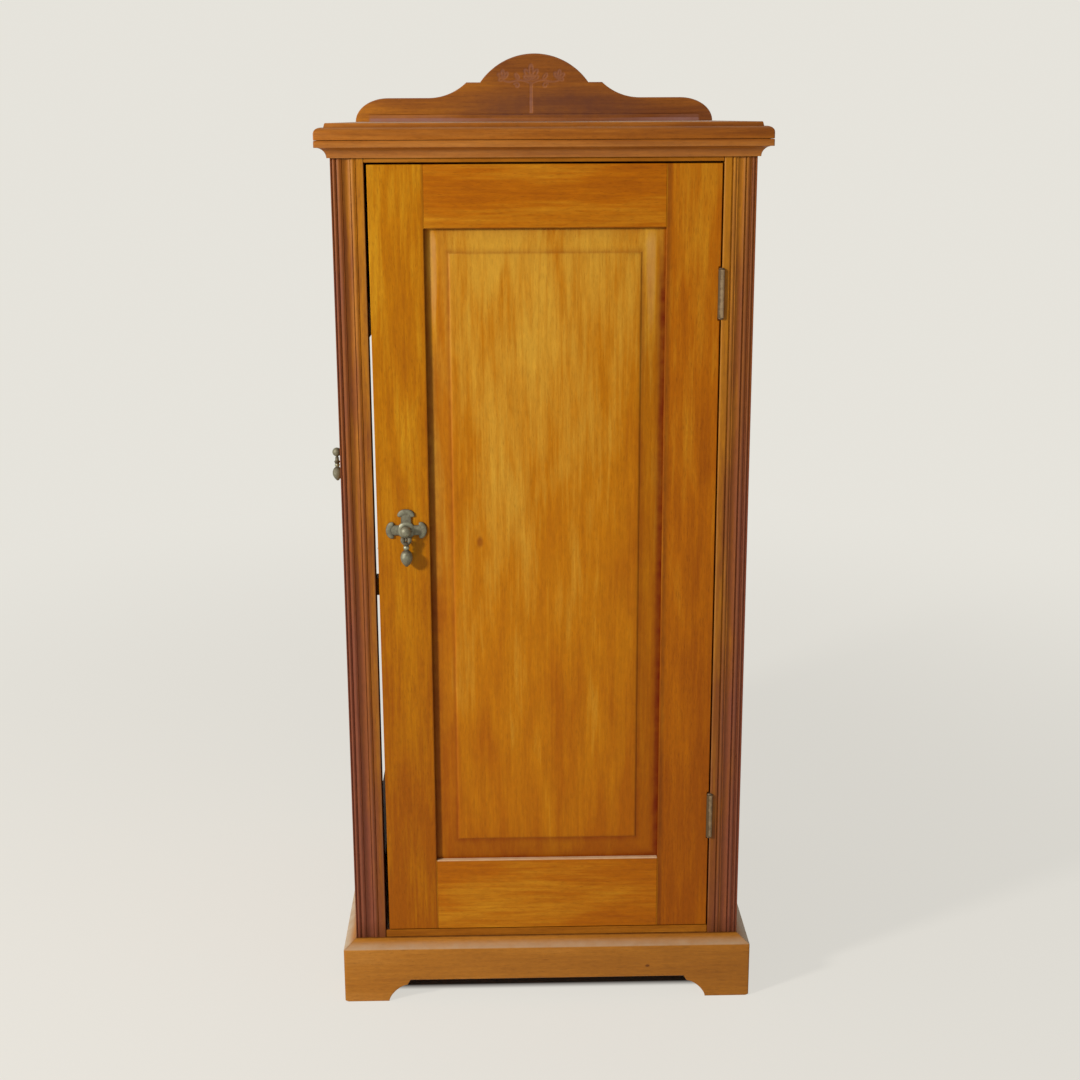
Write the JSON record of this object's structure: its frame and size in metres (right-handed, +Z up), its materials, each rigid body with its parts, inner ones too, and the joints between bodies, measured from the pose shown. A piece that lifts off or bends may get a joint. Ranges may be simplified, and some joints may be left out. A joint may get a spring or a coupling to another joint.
{
  "type": "cupboard",
  "caption": "Narrow upright wooden cupboard with a panelled front door, a second door in its left side, an inner shelf, a bracket plinth and a shaped pediment at the back.",
  "frame": {"origin": "middle of the underside of the plinth's back board, at floor level", "axes": "+Z up, -Y towards the front of the cupboard, -X towards the side that has a door"},
  "size_m": [0.5306, 0.5055, 1.1188],
  "materials": {
    "carcass_walnut": "red-brown polished hardwood",
    "door_walnut": "golden-brown polished hardwood",
    "pine": "bare aged softwood",
    "old_brass": "dark aged cast brass",
    "steel": "dull steel wire"
  },
  "bodies": {
    "carcass": {"plinth_front": "carcass_walnut", "plinth_left": "carcass_walnut", "plinth_right": "carcass_walnut", "plinth_back": "pine", "left_plinth_block": "pine", "right_plinth_block": "pine", "floor_board": "pine", "left_pilaster": "carcass_walnut", "right_pilaster": "carcass_walnut", "front_sill": "carcass_walnut", "top_rail": "carcass_walnut", "side_sill": "carcass_walnut", "left_upper_board": "carcass_walnut", "right_side_board": "carcass_walnut", "left_rear_post": "carcass_walnut", "back_top_rail": "pine", "back_bottom_rail": "pine", "left_back_board": "pine", "middle_back_board": "pine", "right_back_board": "pine", "left_shelf_bearer": "pine", "right_shelf_bearer": "pine", "shelf": "pine", "door_stop_block": "carcass_walnut", "side_latch_keeper": "carcass_walnut", "cornice_front": "carcass_walnut", "cornice_left": "carcass_walnut", "cornice_right": "carcass_walnut", "top_board": "carcass_walnut", "pediment": "carcass_walnut", "front_lower_hinge_frame_leaf": "old_brass", "front_upper_hinge_frame_leaf": "old_brass", "side_lower_hinge_frame_leaf": "old_brass", "side_upper_hinge_frame_leaf": "old_brass", "front_lower_hinge_pin": "steel", "front_upper_hinge_pin": "steel", "side_lower_hinge_pin": "steel", "side_upper_hinge_pin": "steel"},
    "front_door": {"front_door_latch_stile": "door_walnut", "front_door_hinge_stile": "door_walnut", "front_door_top_rail": "door_walnut", "front_door_bottom_rail": "door_walnut", "front_door_panel": "door_walnut", "front_lower_hinge_door_leaf": "old_brass", "front_upper_hinge_door_leaf": "old_brass", "front_handle_plate": "old_brass"},
    "front_latch": {"front_knob": "old_brass", "front_latch_tongue": "old_brass"},
    "front_drop_handle": {"front_drop": "old_brass"},
    "side_door": {"side_door_latch_stile": "door_walnut", "side_door_hinge_stile": "door_walnut", "side_door_top_rail": "door_walnut", "side_door_bottom_rail": "door_walnut", "side_door_panel": "door_walnut", "side_lower_hinge_door_leaf": "old_brass", "side_upper_hinge_door_leaf": "old_brass", "side_handle_plate": "old_brass"},
    "side_latch": {"side_knob": "old_brass", "side_latch_tongue": "old_brass"},
    "side_drop_handle": {"side_drop": "old_brass"}
  },
  "joints": [
    {"name": "front_door_hinge", "type": "hinge", "parent": "carcass", "child": "front_door", "pos_m": [0.1937, -0.4815, 0.54], "axis": [0, 0, 1], "range_deg": [0, 110]},
    {"name": "side_door_hinge", "type": "hinge", "parent": "carcass", "child": "side_door", "pos_m": [-0.2275, -0.4582, 0.44], "axis": [0, 0, 1], "range_deg": [-5.8, 100]},
    {"name": "front_latch_turn", "type": "hinge", "parent": "front_door", "child": "front_latch", "pos_m": [-0.1578, -0.48, 0.5837], "axis": [0, 1, 0], "range_deg": [0, 39.5]},
    {"name": "side_latch_turn", "type": "hinge", "parent": "side_door", "child": "side_latch", "pos_m": [-0.26958, -0.02906, 0.5852], "axis": [0.9949, 0.1011, 0], "range_deg": [0, 90]},
    {"name": "front_drop_swing", "type": "hinge", "parent": "front_latch", "child": "front_drop_handle", "pos_m": [-0.1578, -0.4888, 0.5743], "axis": [-1, 0, 0], "range_deg": [0, 75]},
    {"name": "side_drop_swing", "type": "hinge", "parent": "side_latch", "child": "side_drop_handle", "pos_m": [-0.27834, -0.02995, 0.5758], "axis": [-0.1011, 0.9949, 0], "range_deg": [0, 75]}
  ]
}
